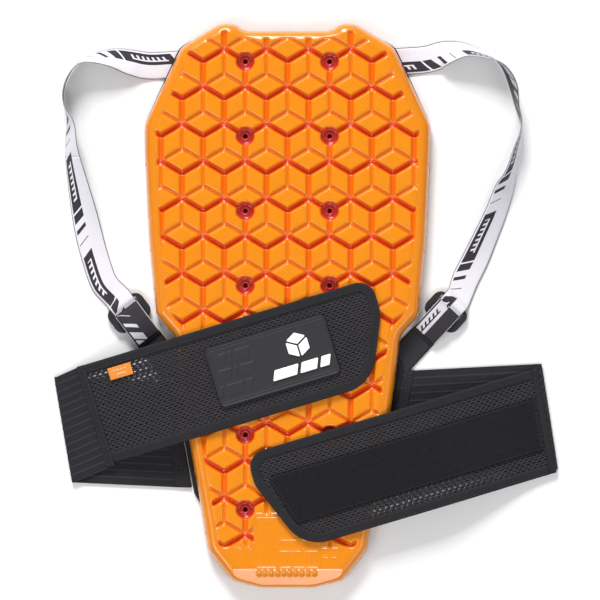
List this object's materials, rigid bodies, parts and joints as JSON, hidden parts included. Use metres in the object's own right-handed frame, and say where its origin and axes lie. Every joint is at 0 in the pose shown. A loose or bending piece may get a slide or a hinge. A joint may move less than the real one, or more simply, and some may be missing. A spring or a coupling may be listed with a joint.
{
  "type": "motorcycle back protector",
  "caption": "Full-length moulded back protector plate on a textile backing with folding elastic waist belt wings and adjustable shoulder straps.",
  "frame": {"origin": "on the plate's line of symmetry, on the flat underside of the backing", "axes": "+Z out of the patterned face, +Y up the spine towards the shoulders, +X to the right seen from the patterned face"},
  "size_m": [0.4619, 0.5196, 0.0285],
  "materials": {
    "plate_foam": "glossy orange viscoelastic foam with a moulded skin",
    "backing_fabric": "black woven polyester",
    "binding_tape": "black woven binding tape, stitched",
    "belt_elastic": "black ribbed elastic",
    "wing_mesh": "open black knitted mesh",
    "loop_pile": "black brushed loop pile",
    "hook_tape": "black hook tape",
    "badge_rubber": "matt black moulded rubber",
    "emblem_white": "white moulded rubber",
    "tag_orange": "orange woven tag",
    "printed_webbing": "white webbing with a black printed pattern",
    "black_webbing": "black ribbed webbing",
    "buckle_plastic": "black moulded acetal"
  },
  "bodies": {
    "root": {"impact_plate": "plate_foam", "plate_hook_pad_upper": "hook_tape", "plate_hook_pad_lower": "hook_tape", "backing_panel": "backing_fabric", "backing_binding": "binding_tape", "left_belt_join_band": "backing_fabric", "left_belt_elastic": "belt_elastic", "right_belt_join_band": "backing_fabric", "right_belt_elastic": "belt_elastic", "left_strap_anchor": "printed_webbing", "right_strap_anchor": "printed_webbing", "left_webbing_anchor": "black_webbing", "right_webbing_anchor": "black_webbing"},
    "left_wing": {"left_wing_elastic": "belt_elastic", "left_wing_seam": "binding_tape", "left_wing_panel": "wing_mesh", "left_wing_binding": "binding_tape", "left_hook_panel": "hook_tape", "left_wing_badge": "badge_rubber", "left_wing_emblem": "emblem_white", "left_side_tag": "tag_orange"},
    "right_wing": {"right_wing_seam": "binding_tape", "right_wing_panel": "wing_mesh", "right_wing_binding": "binding_tape", "right_loop_panel": "loop_pile"},
    "left_strap": {"left_shoulder_strap": "printed_webbing", "left_strap_tail": "printed_webbing", "left_webbing_loop": "black_webbing"},
    "left_lock": {"left_buckle": "buckle_plastic", "left_strap_end": "printed_webbing"},
    "right_strap": {"right_shoulder_strap": "printed_webbing", "right_strap_tail": "printed_webbing", "right_webbing_loop": "black_webbing"},
    "right_lock": {"right_buckle": "buckle_plastic", "right_strap_end": "printed_webbing"}
  },
  "joints": [
    {"name": "left_wing_fold", "type": "hinge", "parent": "root", "child": "left_wing", "pos_m": [-0.2053, -0.1151, 0.00265], "axis": [0.168, -0.9858, 0], "range_deg": [0, 160]},
    {"name": "right_wing_fold", "type": "hinge", "parent": "root", "child": "right_wing", "pos_m": [0.2404, -0.103, 0.00265], "axis": [-0.154, 0.9881, 0], "range_deg": [0, 160]},
    {"name": "left_strap_swing", "type": "hinge", "parent": "root", "child": "left_strap", "pos_m": [-0.1244, 0.1, 0.006], "axis": [0, 1, 0], "range_deg": [0, 65]},
    {"name": "right_strap_swing", "type": "hinge", "parent": "root", "child": "right_strap", "pos_m": [0.1244, 0.1, 0.006], "axis": [0, -1, 0], "range_deg": [0, 65]},
    {"name": "left_buckle_tilt", "type": "hinge", "parent": "left_strap", "child": "left_lock", "pos_m": [-0.1391, -0.0165, 0.00405], "axis": [0.7965, 0.6046, 0], "range_deg": [0, 20]},
    {"name": "right_buckle_tilt", "type": "hinge", "parent": "right_strap", "child": "right_lock", "pos_m": [0.1383, -0.0147, 0.00405], "axis": [0.7337, -0.6794, 0], "range_deg": [0, 20]}
  ]
}
